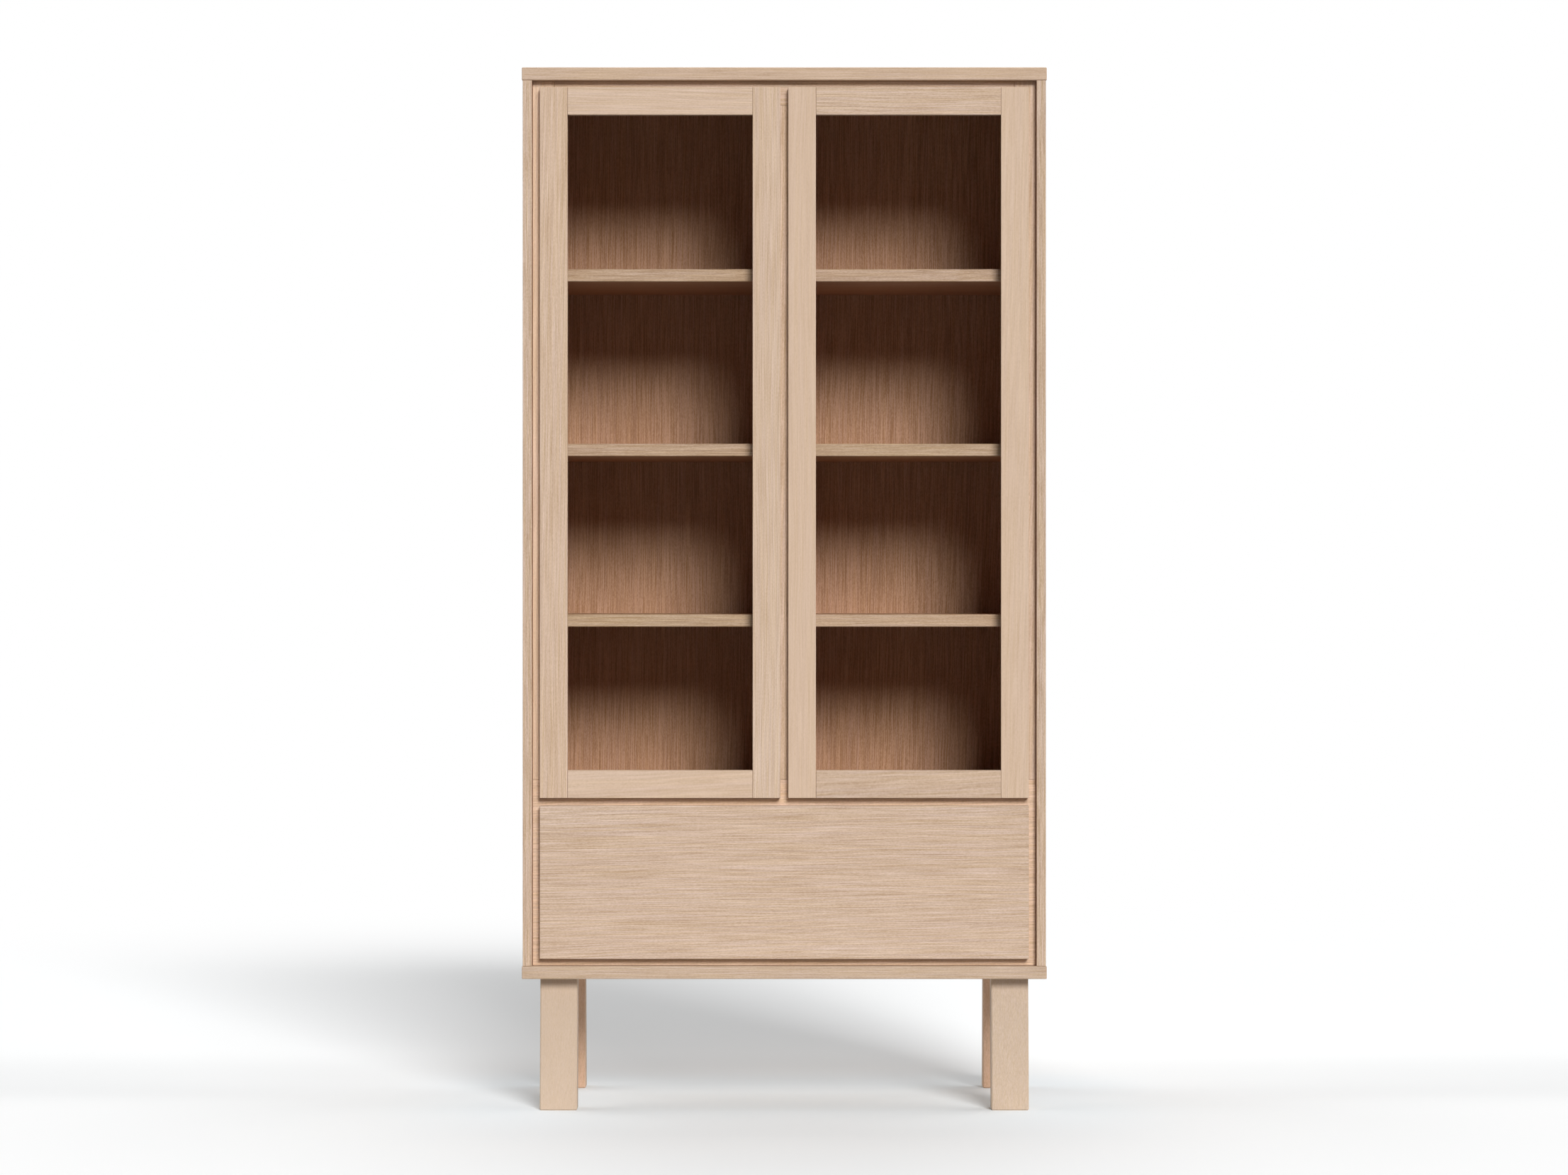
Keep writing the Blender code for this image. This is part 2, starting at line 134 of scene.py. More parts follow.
def speckle(wire, along, across, through, detail):
    place = wire.node("ShaderNodeCombineXYZ", None, {0: along, 1: across, 2: through})
    sockets = {"Vector": place, "Scale": 1.0, "Detail": detail, "Roughness": 0.5}
    return wire.node("ShaderNodeTexNoise", {"noise_dimensions": "3D"}, sockets)


def tinted(colour, tint):
    return [share * gain for share, gain in zip(colour, tint)] + [1.0]


# Oak: pale, matt lacquered, with soft growth lines, fine open pores and darker end grain
oakLook = {
    "wood": (0.745, 0.563, 0.433),                  # between the growth lines
    "growthLine": (0.485, 0.328, 0.208),            # on the darkest of them
    "palePatch": (0.780, 0.613, 0.493),
    "paleShare": 0.6,
    "pore": (0.400, 0.255, 0.160, 1.0),
    "poreShare": 0.38,
    "warmStreak": (1.006, 0.997, 0.935, 1.0),       # the two tints that streaks lean to
    "coolStreak": (0.992, 1.000, 1.055, 1.0),
    "endGrainTint": (0.78, 0.7332, 0.6864, 1.0),
    "paintedShadeFaces": "none",                          # which faces get painted shade: "none", "front", or "inner" for all but front and rear
    "paintedShadeTint": (1.0, 1.0, 1.0, 1.0),              # the tint of that painted shade
    "skin": None,                                   # metres from the middle between which the painted shade ends
    "lineContrast": 0.49,
    "lineShare": 0.5,                               # how near plain wood lies to the growth line's colour
    "roughness": 0.50,
    "lineRoughness": 0.10,                          # what lines, pores and end grain add to it
    "poreRoughness": 0.08,
    "endRoughness": 0.12,
    "specular": 0.20,
    "bumpDepth": 0.00012,
    "bumpStrength": 0.55,
}

# Rear legs: their front faces, in the shade under the cabinet, get a warmer tint, painted bounce light in
# shade
rearLegLook = dict(oakLook)
rearLegLook.update({"paintedShadeFaces": "front", "paintedShadeTint": (1.17, 1.03, 0.955, 1.0)})

# Side panels: their inner faces get a darker, redder tint, painted shade of the closed interior
sideLook = dict(oakLook)
sideLook.update({"paintedShadeFaces": "inner", "paintedShadeTint": (0.70, 0.47, 0.38, 1.0), "skin": (0.439, 0.441)})

# Shelves, deck and drawer: darker and redder than the outside oak as painted shade of the closed interior,
# with faces other than front and rear darker still
innerLook = dict(oakLook)
innerLook.update({
    "wood": (0.620, 0.436, 0.302),
    "growthLine": (0.404, 0.254, 0.145),
    "palePatch": (0.650, 0.470, 0.337),
    "paintedShadeFaces": "inner",
    "paintedShadeTint": (0.90, 0.75, 0.66, 1.0),
    "roughness": 0.55,
})

# Back panel: darker and redder than the outside oak, and its front face darker still, painted shade of the
# closed interior
backLook = dict(innerLook)
backLook.update({
    "wood": (0.681, 0.499, 0.373),
    "growthLine": (0.443, 0.291, 0.179),
    "palePatch": (0.715, 0.545, 0.425),
    "pore": (0.340, 0.210, 0.130, 1.0),
    "paintedShadeFaces": "front",
    "paintedShadeTint": (0.735, 0.578, 0.492, 1.0),
})

# Partition: as the back panel, with painted shade on its sides
partitionLook = dict(backLook)
partitionLook.update({"paintedShadeFaces": "inner", "paintedShadeTint": (0.722, 0.490, 0.405, 1.0)})

# The middle of the growth rings, in metres: to the side of the cabinet's middle, and behind the board,
# further behind along it
pith = {"aside": 0.9, "behind": 0.10, "slope": 0.02}

# How the lines wander: changes to a metre in each direction, and how far to the side, in metres
grainWaves = {
    "slow": {"along": 0.9, "across": 2.4, "through": 2.0, "detail": 1.0, "reach": 0.030},
    "quick": {"along": 7.0, "across": 26.0, "through": 20.0, "detail": 2.0, "reach": 0.0050},
}

# Lines to a metre across the grain, changes to a metre along it, and a shift that sets like ones apart
grainLines = {
    "broad": {"across": 75.0, "along": 1.8, "detail": 2.0, "shift": 0.0},
    "middle": {"across": 380.0, "along": 6.0, "detail": 2.0, "shift": 0.0},
    "fine": {"across": 860.0, "along": 12.0, "detail": 2.0, "shift": 0.0},
    "flecks": {"across": 800.0, "along": 250.0, "detail": 1.0, "shift": 0.0},
    "streaks": {"across": 380.0, "along": 3.5, "detail": 2.0, "shift": 7.0},
    "pores": {"across": 1900.0, "along": 110.0, "detail": 1.0, "shift": 0.0},
}
toneShares = {"broad": 0.80, "middle": 1.3, "fine": 3.4, "flecks": 1.5}
reliefShares = {"pores": 0.8, "fine": 0.5, "middle": 0.3}
noiseMiddle = 0.5               # what every noise swings about
poreGather = 0.5                # how far the pores gather along the middle lines
palePatches = {"along": 2.2, "across": 9.0, "through": 9.0, "detail": 2.0}
boardShifts = {"along": (3, 40), "through": (3, 9), "wave": (0, 50)}    # so that no two boards are alike

# Between which values of its noise, or of the way a face looks, each mask comes in
maskEdges = {
    "patches": (0.40, 0.72),
    "pores": (0.62, 0.74),
    "streaks": (0.30, 0.70),
    "endGrain": (0.75, 0.92),
    "shade": (0.40, 0.80),
}


def paintedShadePart(wire, look, facing, place):  # 1 on the faces that get painted shade, those that light reaches only by way of other wood
    if look["paintedShadeFaces"] == "front":
        return between(wire, 0 - facing["y"], *maskEdges["shade"])
    inner = 1 - between(wire, abs(facing["y"]), *maskEdges["shade"])
    if look["skin"]:
        inner = inner * (1 - between(wire, abs(place["x"]), *look["skin"]))
    return inner


def makeWood(name, look, cut, seed, tilt):
    grain, width, contrast, tint = cut
    depth = ({"x", "y", "z"} - {grain, width}).pop()
    strength = min(1.0, contrast)
    dice = random.Random(seed)
    material, wire = newMaterial(name)
    coordinates = wire.node("ShaderNodeTexCoord", out="Object")
    turned = wire.node("ShaderNodeMapping", None, {"Vector": coordinates, "Rotation": (tilt, 0.0, 0.0)})
    place = dict(zip("xyz", turned.axes()))
    facing = dict(zip("xyz", wire.node("ShaderNodeTexCoord", out="Normal").axes()))
    along = place[grain] + dice.uniform(*boardShifts["along"])
    across = place[width]
    through = place[depth] + dice.uniform(*boardShifts["through"])

    # The lines follow rings round a pith that lies beside and behind the board, and wander a little
    side = across - pith["aside"]
    for wave in grainWaves.values():
        shifted = across * wave["across"] + dice.uniform(*boardShifts["wave"])
        swing = speckle(wire, along * wave["along"], shifted, through * wave["through"], wave["detail"])
        side = side + (swing - noiseMiddle) * wave["reach"]
    behind = along * pith["slope"] + pith["behind"]
    ring = (side * side + behind * behind) ** 0.5

    def lines(kind):
        facts = grainLines[kind]
        passed = along * facts["along"] + facts["shift"]
        return speckle(wire, passed, ring * facts["across"], through * facts["across"], facts["detail"])

    broad, middle, fine, flecks, streaks, pores = [lines(kind) for kind in grainLines]
    tone = (broad - noiseMiddle) * toneShares["broad"]
    tone = tone + (middle - noiseMiddle) * toneShares["middle"]
    tone = tone + (fine - noiseMiddle) * toneShares["fine"]
    tone = tone + (flecks - noiseMiddle) * toneShares["flecks"]
    darkness = wire.node(
        "ShaderNodeMath",
        {"operation": "MULTIPLY_ADD", "use_clamp": True},
        {0: tone, 1: look["lineContrast"] * contrast, 2: look["lineShare"]},
    )
    ways = {"along": along, "across": across, "through": through}
    spots = [near * palePatches[way] for way, near in ways.items()]
    patches = between(wire, speckle(wire, *spots, palePatches["detail"]), *maskEdges["patches"])
    poreMask = between(wire, pores + (middle - noiseMiddle) * poreGather, *maskEdges["pores"])
    streakMask = between(wire, streaks, *maskEdges["streaks"])
    endOn = between(wire, abs(facing[grain]), *maskEdges["endGrain"])

    wood, pale, line = [tinted(look[part], tint) for part in ("wood", "palePatch", "growthLine")]
    colour = blendColours(wire, patches * (look["paleShare"] * strength), wood, pale)
    colour = blendColours(wire, darkness, colour, line)
    colour = blendColours(wire, poreMask * (look["poreShare"] * strength), colour, look["pore"])
    streakTint = blendColours(wire, streakMask, look["warmStreak"], look["coolStreak"])
    colour = blendColours(wire, strength, colour, streakTint, "MULTIPLY")
    colour = blendColours(wire, endOn, colour, look["endGrainTint"], "MULTIPLY")
    # Painted shade: the chosen faces are tinted darker, or warmer, as shade and bounce light would colour
    # them
    if look["paintedShadeFaces"] != "none":
        paintedShadeShare = paintedShadePart(wire, look, facing, place)
        colour = blendColours(wire, paintedShadeShare, colour, look["paintedShadeTint"], "MULTIPLY")

    roughness = look["roughness"] + darkness * look["lineRoughness"] + poreMask * look["poreRoughness"]
    roughness = roughness + endOn * look["endRoughness"]
    height = 1.0 - poreMask * reliefShares["pores"]
    height = height - fine * reliefShares["fine"] - middle * reliefShares["middle"]
    relief = {"Strength": look["bumpStrength"], "Distance": look["bumpDepth"], "Height": height}
    bump = wire.node("ShaderNodeBump", None, relief)
    finish = {
        "Base Color": colour,
        "Roughness": roughness,
        "Normal": bump,
        "Specular IOR Level": look["specular"],
    }
    shader = wire.node("ShaderNodeBsdfPrincipled", None, finish)
    wire.node("ShaderNodeOutputMaterial", None, {"Surface": shader})
    return material


# Each board: the direction of its grain and of its width, the contrast of its lines, and its tint
plainTint = (1.0, 1.0, 1.0)
caseBoards = {
    "top_panel": ("x", "y", 0.72, (0.925, 0.918, 0.907)),
    "bottom_panel": ("x", "y", 0.90, (0.85, 0.86, 0.865)),
    # The left frame stile is tinted lighter, painted light against the shadow the left door throws on it
    "frame_left_stile": ("z", "x", 0.80, (1.19, 1.19, 1.16)),
    "frame_right_stile": ("z", "x", 0.80, plainTint),
    "frame_centre_stile": ("z", "x", 1.10, (0.965, 0.965, 0.96)),
    "frame_top_rail": ("x", "z", 0.90, plainTint),
    # The drawer surround is tinted lighter, painted light against the shadow in the gaps round the drawer
    "frame_drawer_surround": ("x", "z", 0.85, (1.15, 1.12, 1.08)),
    "drawer_front": ("x", "z", 1.08, (0.945, 0.95, 0.975)),
    "front_left_leg": ("z", "x", 0.26, (0.885, 0.925, 0.955)),
    "front_right_leg": ("z", "x", 0.42, (0.87, 0.91, 0.94)),
}
rearLegs = {
    "rear_left_leg": ("z", "x", 0.50, (0.90, 0.915, 0.93)),
    "rear_right_leg": ("z", "x", 0.50, (0.90, 0.915, 0.93)),
}
doorBoards = {
    "left_door_hinge_stile": ("z", "x", 0.82, plainTint),
    "left_door_lock_stile": ("z", "x", 0.76, (1.0, 1.015, 1.03)),
    "left_door_top_rail": ("x", "z", 0.64, (1.03, 1.05, 1.08)),
    "left_door_bottom_rail": ("x", "z", 0.46, (1.02, 1.03, 1.04)),
    "right_door_hinge_stile": ("z", "x", 0.38, (1.03, 1.045, 1.055)),
    "right_door_lock_stile": ("z", "x", 0.38, (1.03, 1.04, 1.05)),
    "right_door_top_rail": ("x", "z", 1.00, (0.945, 0.945, 0.95)),
    "right_door_bottom_rail": ("x", "z", 0.80, (0.91, 0.91, 0.92)),
}
sidePanels = {
    "left_side_panel": ("z", "y", 1.20, (0.925, 0.915, 0.91)),
    "right_side_panel": ("z", "y", 1.20, (0.895, 0.895, 0.895)),
}
innerBoards = {
    "deck_panel": ("x", "y", 1.00, plainTint),
    "drawer_left_side": ("y", "z", 0.80, plainTint),
    "drawer_right_side": ("y", "z", 0.80, plainTint),
    "drawer_back": ("x", "z", 0.80, plainTint),
    "drawer_bottom": ("y", "x", 0.80, plainTint),
    "left_lower_shelf": ("x", "y", 1.25, plainTint),
    "left_middle_shelf": ("x", "y", 1.25, (0.985, 0.970, 1.0)),
    "left_upper_shelf": ("x", "y", 1.25, (0.965, 0.950, 0.98)),
    "right_lower_shelf": ("x", "y", 1.25, (1.06, 1.05, 1.09)),
    "right_middle_shelf": ("x", "y", 1.25, plainTint),
    "right_upper_shelf": ("x", "y", 1.25, (1.03, 1.03, 1.12)),
}
backPanel = {"back_panel": ("z", "x", 1.75, plainTint)}
partition = {"centre_partition": ("z", "y", 1.20, plainTint)}
legLean = radians(5.0)


def coverBoards(boards, look, firstSeed):
    for number, (name, cut) in enumerate(boards.items()):
        tilt = 0.0
        if name.endswith("leg"):
            tilt = -legLean if name.startswith("front") else legLean
        giveMaterial(nodes[name], makeWood(name + "_wood", look, cut, firstSeed + number, tilt))


coverBoards(caseBoards, oakLook, 100)
coverBoards(rearLegs, rearLegLook, 110)
coverBoards(doorBoards, oakLook, 112)
coverBoards(sidePanels, sideLook, 150)
coverBoards(innerBoards, innerLook, 200)
coverBoards(backPanel, backLook, 300)
coverBoards(partition, partitionLook, 301)
print("stage: wood finished")


# Plain zinc plated steel of the hinges, runners and screws
steelLook = {
    "metal": (0.62, 0.62, 0.60, 1.0),
    "dulled": (0.46, 0.46, 0.45, 1.0),
    "clouds": 160.0,            # dull clouds and fine grit, to a metre
    "cloudDetail": 4.0,
    "cloudEdges": (0.42, 0.70),
    "grit": 2400.0,
    "gritDetail": 2.0,
    "roughness": 0.30,
    "cloudRoughness": 0.12,     # what they add to it
    "gritRoughness": 0.06,
    "bumpDepth": 0.00005,
    "bumpStrength": 0.3,
}


def makeSteel(name, look):
    material, wire = newMaterial(name)
    place = wire.node("ShaderNodeTexCoord", out="Object")
    clouds = {"Vector": place, "Scale": look["clouds"], "Detail": look["cloudDetail"]}
    cloud = wire.node("ShaderNodeTexNoise", None, clouds)
    grains = {"Vector": place, "Scale": look["grit"], "Detail": look["gritDetail"]}
    grit = wire.node("ShaderNodeTexNoise", None, grains)
    colour = blendColours(wire, between(wire, cloud, *look["cloudEdges"]), look["metal"], look["dulled"])
    roughness = look["roughness"] + cloud * look["cloudRoughness"] + grit * look["gritRoughness"]
    relief = {"Strength": look["bumpStrength"], "Distance": look["bumpDepth"], "Height": grit}
    bump = wire.node("ShaderNodeBump", None, relief)
    finish = {"Base Color": colour, "Metallic": 1.0, "Roughness": roughness, "Normal": bump}
    shader = wire.node("ShaderNodeBsdfPrincipled", None, finish)
    wire.node("ShaderNodeOutputMaterial", None, {"Surface": shader})
    return material


# Clear float glass: it lets lamps through and mirrors a little
glassLook = {
    "tint": (0.985, 0.992, 0.988, 1.0),
    "shine": (0.9, 0.9, 0.9, 1.0),
    "roughness": 0.02,
    "bending": 1.45,
    "headOn": 0.036,            # taken off, so that the pane mirrors nothing seen straight on
    "mirror": 1.10,             # how strongly it mirrors from the side, both faces together
}


def makeGlass(name, look):
    material, wire = newMaterial(name)
    edge = wire.node("ShaderNodeFresnel", None, {"IOR": look["bending"]})
    clear = wire.node("ShaderNodeBsdfTransparent", None, {"Color": look["tint"]})
    mirrored = {"Color": look["shine"], "Roughness": look["roughness"]}
    shine = wire.node("ShaderNodeBsdfGlossy", None, mirrored)
    outside = 1 - wire.node("ShaderNodeNewGeometry", out="Backfacing")
    share = wire.maths("MAXIMUM", (edge - look["headOn"]) * look["mirror"], 0.0) * outside
    pane = wire.node("ShaderNodeMixShader", None, {0: share, 1: clear, 2: shine})
    wire.node("ShaderNodeOutputMaterial", None, {"Surface": pane})
    return material


steel = makeSteel("zincPlatedSteel", steelLook)
glass = makeGlass("clearGlass", glassLook)
for name, node in nodes.items():
    if "runner" in name or ("hinge_" in name and not name.endswith("stile")):
        giveMaterial(node, steel)
    elif name.endswith("glass"):
        giveMaterial(node, glass)
print("stage: steel and glass finished")


def deselectAll():
    bpy.ops.object.select_all(action="DESELECT")


def pickOnly(piece):
    deselectAll()
    piece.select_set(True)
    bpy.context.view_layer.objects.active = piece


def pickFaces(wanted):  # in edit mode
    bpy.ops.mesh.select_mode(type="FACE")
    bpy.ops.mesh.select_all(action="DESELECT")
    mesh = bpy.context.object.data
    shape = bmesh.from_edit_mesh(mesh)
    for face in shape.faces:
        face.select_set(wanted(face))
    bmesh.update_edit_mesh(mesh)


def applyModifier(piece, kind, settings):
    pickOnly(piece)
    modifier = piece.modifiers.new(kind, kind)
    for name, value in settings.items():
        setattr(modifier, name, value)
    bpy.ops.object.modifier_apply(modifier=modifier.name)


def joinPieces(pieces):
    pickOnly(pieces[0])
    for piece in pieces:
        piece.select_set(True)
    if len(pieces) > 1:
        bpy.ops.object.join()
    return pieces[0]


def combine(piece, tools, operation):  # joins the tools into one solid, then adds it or cuts it away
    tool = joinPieces(tools)
    settings = {"operation": operation, "object": tool, "solver": "EXACT", "use_self": True}
    applyModifier(piece, "BOOLEAN", settings)
    bpy.data.objects.remove(tool)


def softenEdges(piece, width, angle, steps):
    settings = {"width": width, "segments": steps, "limit_method": "ANGLE", "angle_limit": radians(angle)}
    applyModifier(piece, "BEVEL", settings)


def roundPlate(radius, low, high, steps, place=(0.0, 0.0)):
    spot = (place[0], place[1], (low + high) / 2)
    deselectAll()
    bpy.ops.mesh.primitive_cylinder_add(vertices=steps, radius=radius, depth=high - low, location=spot)
    bpy.ops.object.transform_apply(location=True, rotation=True, scale=True)
    return bpy.context.object


def block(low, high):
    middle = [(a + b) / 2 for a, b in zip(low, high)]
    size = [b - a for a, b in zip(low, high)]
    deselectAll()
    bpy.ops.mesh.primitive_cube_add(size=1.0, location=middle, scale=size)
    bpy.ops.object.transform_apply(location=True, rotation=True, scale=True)
    return bpy.context.object


def copyFacing(source, place, direction):  # its own mesh, with the source's +Z turned to the direction
    copy = source.copy()
    copy.data = source.data.copy()
    bpy.context.collection.objects.link(copy)
    turn = Vector(direction).to_track_quat("Z", "Y").to_matrix().to_4x4()
    copy.data.transform(Matrix.Translation(place) @ turn)
    return copy


smoothAngle = radians(35.0)


def finishPiece(piece, name, body):
    piece.name = name
    pickOnly(piece)
    bpy.ops.object.shade_smooth_by_angle(angle=smoothAngle)
    giveMaterial(piece, steel)
    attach(piece, body)


# Screw heads, domed, with a cross recess where there is room for one, in metres
screwSizes = {
    "armScrew": {"radius": 0.0036, "height": 0.0009, "crown": 0.0005, "cross": 0.0042, "crossWidth": 0.0008},
    "cupScrew": {"radius": 0.0031, "height": 0.0003, "crown": 0.0002, "cross": 0.0036, "crossWidth": 0.0007},
    "panelPin": {"radius": 0.0021, "height": 0.0004, "crown": 0.0004, "cross": 0.0, "crossWidth": 0.0},
}
screwShape = {
    "sunk": 0.0001,
    "steps": 24,
    "upward": 0.9,                              # how straight up the face that is domed looks, at least
    "domes": ((0.30, 0.65), (0.28, 0.35)),      # each ring's inset and rise, as shares of radius and crown
    "edge": 0.3,                                # share of the height
    "edgeAngle": 40,
    "edgeSteps": 2,
    "crossFloor": 0.35,                         # from where to where the cross is cut out, as shares of
    "crossRoof": 2.0,                           # height and crown together
}


def makeScrewHead(size, shape):
    head = roundPlate(size["radius"], -shape["sunk"], size["height"], shape["steps"])
    bpy.ops.object.mode_set(mode="EDIT")
    pickFaces(lambda face: face.normal.z > shape["upward"])
    for inset, rise in shape["domes"]:
        bpy.ops.mesh.inset(thickness=size["radius"] * inset)
        bpy.ops.transform.translate(value=(0, 0, size["crown"] * rise))
    bpy.ops.object.mode_set(mode="OBJECT")
    softenEdges(head, size["height"] * shape["edge"], shape["edgeAngle"], shape["edgeSteps"])
    if size["cross"]:
        top = size["height"] + size["crown"]
        floor, roof = top * shape["crossFloor"], top * shape["crossRoof"]
        reach, half = size["cross"] / 2, size["crossWidth"] / 2
        slots = [block((-a, -b, floor), (a, b, roof)) for a, b in ((reach, half), (half, reach))]
        combine(head, slots, "DIFFERENCE")
    return head


screwHeads = {name: makeScrewHead(size, screwShape) for name, size in screwSizes.items()}


def fastenWith(name, kind, places, direction, body):
    screws = joinPieces([copyFacing(screwHeads[kind], place, direction) for place in places])
    finishPiece(screws, name, body)


# The flange of a hinge cup: a thin pressed plate on the back of the door, with a screw in each ear
flangeSize = {
    "thickness": 0.0006,
    "sunk": 0.00005,
    "ringRadius": 0.0188,
    "holeRadius": 0.0160,
    "holeDepth": 4.0,           # how much further than the plate its cutter reaches, on both sides
    "earRadius": 0.0056,
    "earReach": 0.0232,         # from the middle of the cup to the screw
    "edge": 0.00015,
    "edgeAngle": 50,
    "edgeSteps": 1,
    "ringSteps": 64,
    "earSteps": 32,
}


def makeFlange(size):
    low, high = -size["sunk"], size["thickness"]
    flange = roundPlate(size["ringRadius"], low, high, size["ringSteps"])
    for way in (-1, 1):
        ear = size["earRadius"]
        reach = way * size["earReach"]
        arm = block((-ear, min(0, reach), low), (ear, max(0, reach), high))
        combine(flange, [roundPlate(ear, low, high, size["earSteps"], (0.0, reach)), arm], "UNION")
    depth = size["holeDepth"]
    hole = roundPlate(size["holeRadius"], low * depth, high * depth, size["ringSteps"])
    combine(flange, [hole], "DIFFERENCE")
    softenEdges(flange, size["edge"], size["edgeAngle"], size["edgeSteps"])
    return flange


flange = makeFlange(flangeSize)

# The screws of a hinge arm, in the plate on the edge of the face frame
hingeScrews = {
    "plateMetal": 0.002,
    "plateMiddle": 0.008,       # in from the rear edge of the plate
    "spread": 0.0140,           # above and below the middle of the arm
}


def fastenArm(hinge, side, screws):
    low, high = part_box(hinge + "_arm")
    x = high[0] - screws["plateMetal"] if side > 0 else low[0] + screws["plateMetal"]
    y = high[1] - screws["plateMiddle"]
    middle = (low[2] + high[2]) / 2
    places = [(x, y, middle + way * screws["spread"]) for way in (-1, 1)]
    fastenWith(hinge + "_arm_screws", "armScrew", places, (-side, 0, 0), "case")


def coverCup(hinge, body, size):
    low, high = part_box(hinge + "_cup")
    x, y, z = (low[0] + high[0]) / 2, high[1], (low[2] + high[2]) / 2
    pieces = [copyFacing(flange, (x, y, z), (0, 1, 0))]
    for way in (-1, 1):
        spot = (x, y + size["thickness"], z + way * size["earReach"])
        pieces.append(copyFacing(screwHeads["cupScrew"], spot, (0, 1, 0)))
    finishPiece(joinPieces(pieces), hinge + "_cup_flange", body)


for hand, side in (("left", -1), ("right", 1)):
    for level in ("lower", "middle", "upper"):
        hinge = "%s_hinge_%s" % (hand, level)
        fastenArm(hinge, side, hingeScrews)
        coverCup(hinge, hand + "_door", flangeSize)

# Screws that hold the two members of each runner
runnerScrews = {"metal": 0.0012, "fromEnds": 0.035}


def fastenRunner(member, way, body, screws):
    low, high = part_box(member)
    back = low[0] if way > 0 else high[0]
    x = back + way * screws["metal"]
    ends = (low[1] + screws["fromEnds"], high[1] - screws["fromEnds"])
    places = [(x, y, (low[2] + high[2]) / 2) for y in (ends[0], sum(ends) / 2, ends[1])]
    fastenWith(member + "_screws", "armScrew", places, (way, 0, 0), body)


for hand, side in (("left", -1), ("right", 1)):
    fastenRunner(hand + "_runner_drawer_member", side, "drawer", runnerScrews)
    fastenRunner(hand + "_runner_cabinet_member", -side, "case", runnerScrews)

# Panel pins round the back panel, and along the partition and the deck
pinRows = {
    "fromEdge": 0.0035,
    "fromEnds": 0.040,
    "overDeck": 0.10,           # where the row along the partition begins
    "deckFromEnds": 0.08,
    "sidePins": 11,
    "partitionPins": 8,
    "deckPins": 7,
}


def evenly(first, last, count):
    return [first + (last - first) * number / (count - 1) for number in range(count)]


def pinBack(rows):
    low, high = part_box("back_panel")
    deckLow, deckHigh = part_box("deck_panel")
    deck = (deckLow[2] + deckHigh[2]) / 2
    foot, head = low[2] + rows["fromEnds"], high[2] - rows["fromEnds"]
    left, right = low[0] + rows["deckFromEnds"], high[0] - rows["deckFromEnds"]
    pins = []
    for x in (low[0] + rows["fromEdge"], high[0] - rows["fromEdge"]):
        pins += [(x, z) for z in evenly(foot, head, rows["sidePins"])]
    pins += [(0.0, z) for z in evenly(deck + rows["overDeck"], head, rows["partitionPins"])]
    pins += [(x, deck) for x in evenly(left, right, rows["deckPins"])]
    fastenWith("back_panel_pins", "panelPin", [(x, high[1], z) for x, z in pins], (0, 1, 0), "case")


pinBack(pinRows)
for spare in list(screwHeads.values()) + [flange]:
    bpy.data.objects.remove(spare)
print("stage: screws, flanges and pins made")


# Studio: a white floor and room, a wide soft lamp at the front right, one high behind, one at either side
studio = {
    "white": (1.0, 1.0, 1.0, 1.0),
    "surroundings": 0.03,       # how strongly the white room itself lights the cabinet
    "lampDistance": 6.0,
    "floorSize": 60.0,
    "floorColour": (0.985, 0.995, 1.0, 1.0),
    "farFloor": (0.30, 0.30, 0.30, 1.0),    # what the floor further out throws back up at the cabinet
    "farFrom": 0.45,            # metres from the cabinet's middle
    "farTo": 0.95,
    "floorWhite": 0.02,         # how far the camera sees the floor as plain white near the cabinet
    "fadeFrom": 2.2,            # metres from the cabinet's middle where the floor starts to fade to white
    "fadeTo": 4.6,
    "sideWhite": 0.55,          # the share of plain white at both sides in front of the cabinet, seen by the camera: painted light on the floor
    "sideFrom": (0.70, 1.35),   # metres to the side between which it comes
    "sideGoes": (-0.20, 0.05),  # metres behind the cabinet's middle between which it goes
}

# Each lamp: its turn from the front to the right, its rise and its spread in degrees, and its strength
lamps = {
    "softLamp": {"turn": 14.0, "rise": 26.8, "spread": 22.0, "strength": 2.94},
    "overheadLamp": {"turn": 180.0, "rise": 62.0, "spread": 84.0, "strength": 0.98},
    "leftLamp": {"turn": -100.0, "rise": 30.0, "spread": 60.0, "strength": 0.88},
    "rightLamp": {"turn": 100.0, "rise": 30.0, "spread": 60.0, "strength": 0.88},
}

# Painted shadow on the floor, as soft tints, in metres: how far a patch reaches to either side of its middle
# line, which may lean as the shadow does, and between which distances behind the cabinet's middle it comes
# and goes
paintedFloorShades = {
    "band": {
        "tint": (0.950, 0.950, 0.950, 1.0), "middle": 0.0, "lean": 0.0,
        "half": (4.0, 5.0), "comes": (-0.10, 0.15), "goes": (0.40, 0.80),
    },
    "front": {
        "tint": (0.815, 0.815, 0.815, 1.0), "middle": 0.0, "lean": 0.0,
        "half": (0.05, 0.85), "comes": (-2.0, -0.40), "goes": (-0.55, -0.12),
    },
    "under": {
        "tint": (0.925, 0.925, 0.925, 1.0), "middle": 0.20, "lean": 0.25,
        "half": (0.28, 0.52), "comes": (-0.05, 0.25), "goes": (0.80, 3.60),
    },
    "beside": {
        "tint": (0.950, 0.950, 0.950, 1.0), "middle": -0.15, "lean": 0.25,
        "half": (0.45, 0.90), "comes": (0.0, 0.35), "goes": (1.0, 3.60),
    },
    # A cool tint against the warm light that the wood throws on the floor near the feet
    "nearFeet": {
        "tint": (0.935, 0.974, 1.0, 1.0), "middle": 0.0, "lean": 0.0,
        "half": (0.42, 0.75), "comes": (-0.75, -0.10), "goes": (0.18, 0.50),
    },
}


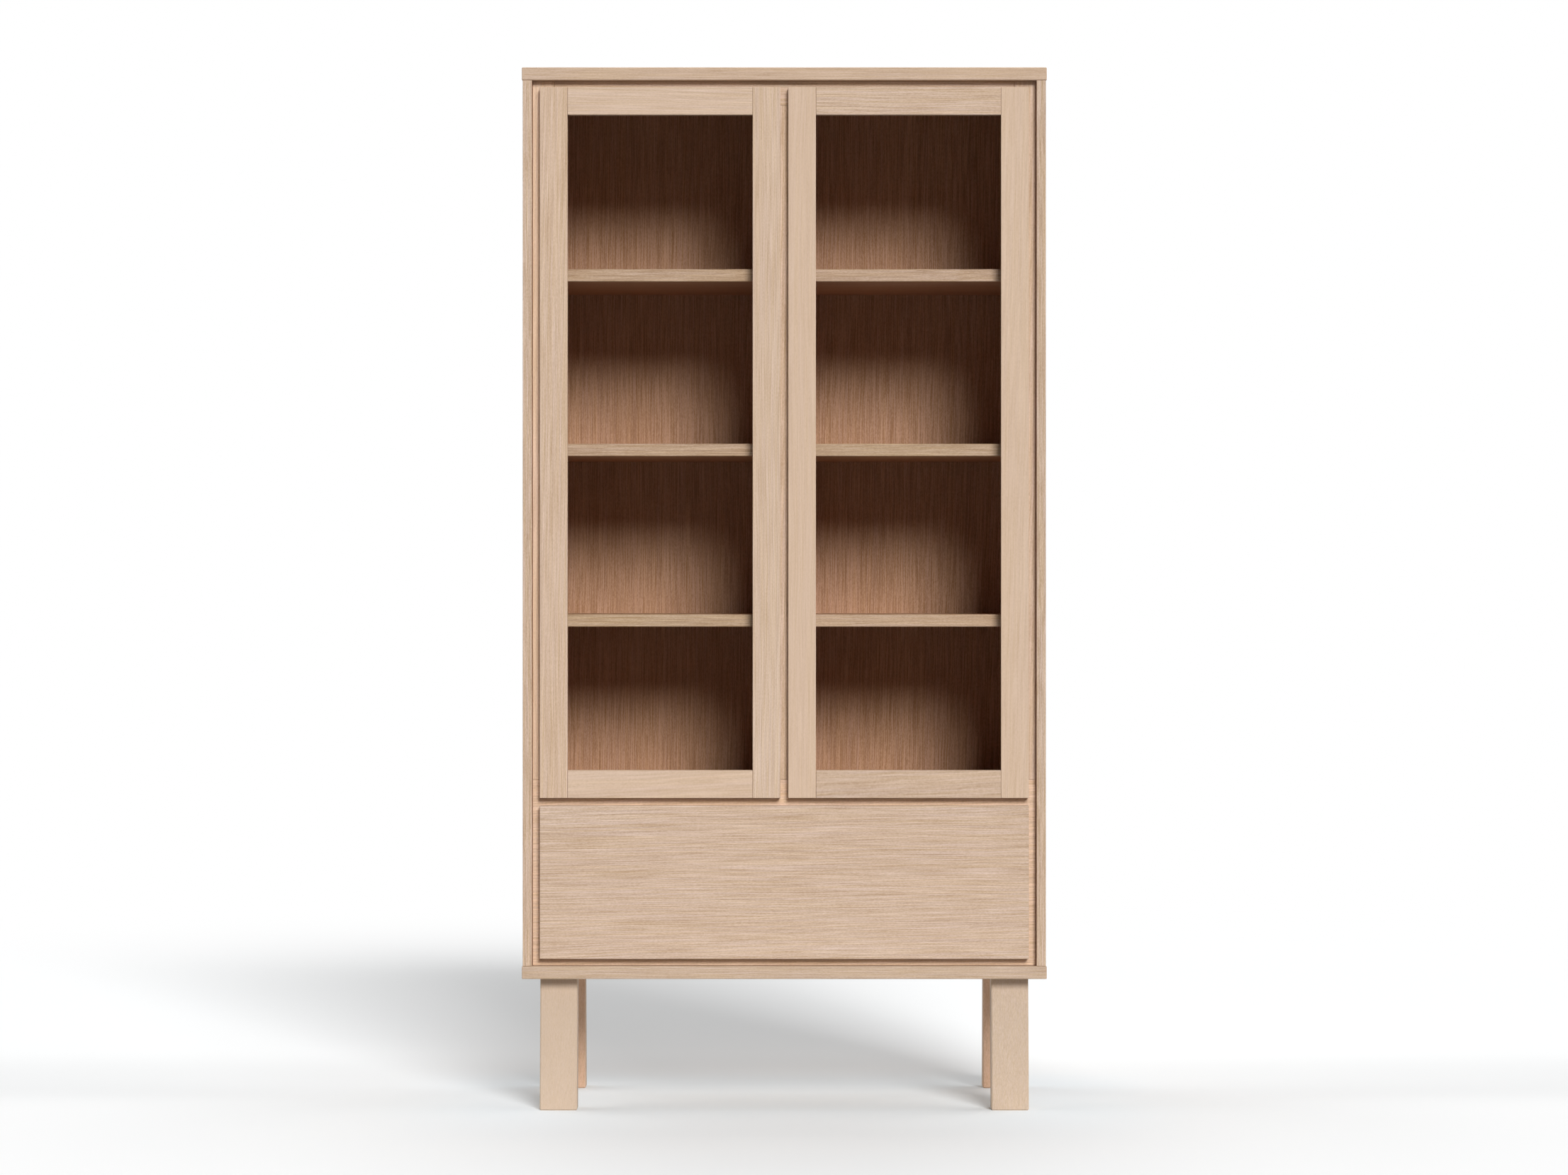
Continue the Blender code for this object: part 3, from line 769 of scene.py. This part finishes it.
def seenOnly(wire):  # 1 for rays from the camera, and in metal and glass
    kinds = ("Is Camera Ray", "Is Glossy Ray", "Is Transmission Ray")
    seen, mirrored, passed = [wire.node("ShaderNodeLightPath", out=kind) for kind in kinds]
    return wire.maths("MAXIMUM", seen, wire.maths("MAXIMUM", mirrored, passed))


def makeSurroundings(setup):
    world = bpy.data.worlds.new("whiteRoom")
    bpy.context.scene.world = world
    world.use_nodes = True
    world.node_tree.nodes.clear()
    wire = Wire(world.node_tree)
    strength = setup["surroundings"] + seenOnly(wire) * (1 - setup["surroundings"])
    light = wire.node("ShaderNodeBackground", None, {"Color": setup["white"], "Strength": strength})
    wire.node("ShaderNodeOutputWorld", None, {"Surface": light})


def makeFloor(setup, patches):
    bpy.ops.mesh.primitive_plane_add(size=setup["floorSize"], location=(0, 0, 0))
    floor = bpy.context.object
    floor.name = "studioFloor"
    material, wire = newMaterial("studioFloor")
    place = wire.node("ShaderNodeTexCoord", out="Object")
    far = wire.node("ShaderNodeVectorMath", {"operation": "LENGTH"}, {0: place}, "Value")
    sideways, back = place.axes()[:2]
    white = between(wire, far, setup["fadeFrom"], setup["fadeTo"])
    # Painted light: the floor at both sides in front of the cabinet is whitened for the camera
    inFront = 1 - between(wire, back, *setup["sideGoes"])
    inFront = between(wire, abs(sideways), *setup["sideFrom"]) * inFront
    white = wire.maths("MAXIMUM", white, inFront * setup["sideWhite"])
    seen = seenOnly(wire)
    share = (setup["floorWhite"] + white * (1 - setup["floorWhite"])) * seen
    dim = between(wire, far, setup["farFrom"], setup["farTo"]) * (1 - seen)
    colour = blendColours(wire, dim, setup["floorColour"], setup["farFloor"])
    # Painted shadow on the floor, patch by patch
    for floorShade in patches.values():
        aside = abs(sideways + back * floorShade["lean"] - floorShade["middle"])
        cover = 1 - between(wire, aside, *floorShade["half"])
        cover = cover * between(wire, back, *floorShade["comes"]) * (1 - between(wire, back, *floorShade["goes"]))
        colour = blendColours(wire, cover, colour, floorShade["tint"], "MULTIPLY")
    matt = wire.node("ShaderNodeBsdfDiffuse", None, {"Color": colour})
    plain = wire.node("ShaderNodeEmission", None, {"Color": setup["white"], "Strength": 1.0})
    both = wire.node("ShaderNodeMixShader", None, {0: share, 1: matt, 2: plain})
    wire.node("ShaderNodeOutputMaterial", None, {"Surface": both})
    giveMaterial(floor, material)


def makeLamp(name, facts, distance):
    turn, rise = radians(facts["turn"]), radians(facts["rise"])
    away = Vector((cos(rise) * sin(turn), -cos(rise) * cos(turn), sin(rise)))
    bpy.ops.object.light_add(type="SUN", location=away * distance)
    lamp = bpy.context.object
    lamp.name = name
    lamp.rotation_euler = away.to_track_quat("Z", "Y").to_euler()
    lamp.data.angle = radians(facts["spread"])
    lamp.data.energy = facts["strength"]


makeSurroundings(studio)
makeFloor(studio, paintedFloorShades)
for lampName, lampFacts in lamps.items():
    makeLamp(lampName, lampFacts, studio["lampDistance"])
bpy.context.scene.view_settings.view_transform = "Standard"
print("stage: studio lit")
